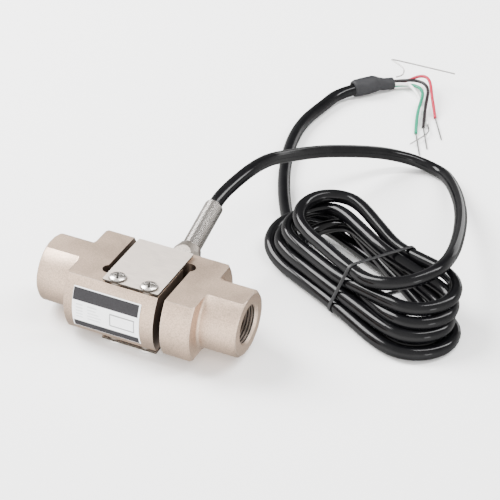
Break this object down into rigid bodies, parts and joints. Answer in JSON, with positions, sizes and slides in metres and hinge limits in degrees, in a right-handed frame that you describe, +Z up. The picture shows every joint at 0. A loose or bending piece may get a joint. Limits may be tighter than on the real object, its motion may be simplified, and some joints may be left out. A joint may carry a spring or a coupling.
{
  "type": "weighing load cell",
  "caption": "Round-bar S-slotted load cell with flats, threaded end bosses, cover plates, a rear cable gland with spring guard, and a tied hank of cable with bared cores.",
  "frame": {"origin": "middle of the bar, on the load axis", "axes": "+X along the load axis, +Y towards the cable gland, +Z up through the upper cover plate"},
  "size_m": [0.1877, 0.3182, 0.0472],
  "materials": {
    "body": "satin nickel plate",
    "cover_plate": "brushed",
    "screw": "bright nickel plate",
    "gland": "satin nickel plate",
    "guard": "bright drawn wire",
    "gasket": "matt",
    "gauge_film": "polyimide film",
    "board": "matt laminate",
    "sealant": "soft silicone",
    "nameplate": "satin foil",
    "cable": "smooth jacket",
    "tie": "plastic-coated wire",
    "sleeve": "shrunk tube",
    "tinned": "tinned copper",
    "core_red": "smooth insulation",
    "core_black": "smooth insulation",
    "core_green": "smooth insulation",
    "core_white": "smooth insulation"
  },
  "bodies": {
    "root": {"spring_element": "body", "top_cover": "cover_plate", "bottom_cover": "cover_plate", "top_gasket": "gasket", "bottom_gasket": "gasket", "top_cover_spacers": "screw", "bottom_cover_spacers": "screw", "top_cover_screws": "screw", "bottom_cover_screws": "screw", "top_gauge": "gauge_film", "bottom_gauge": "gauge_film", "terminal_board": "board", "inner_leads": "core_white", "top_sealant": "sealant", "bottom_sealant": "sealant", "cable_gland": "gland", "cable_seal": "gasket", "spring_guard": "guard", "nameplate": "nameplate", "cable_lead": "cable", "cable_hank": "cable", "cable_tail": "cable", "hank_tie": "tie", "heat_shrink": "sleeve", "drain_wire": "tinned", "core_tips": "tinned", "core_red": "core_red", "core_black": "core_black", "core_green": "core_green", "core_white": "core_white"}
  },
  "joints": []
}
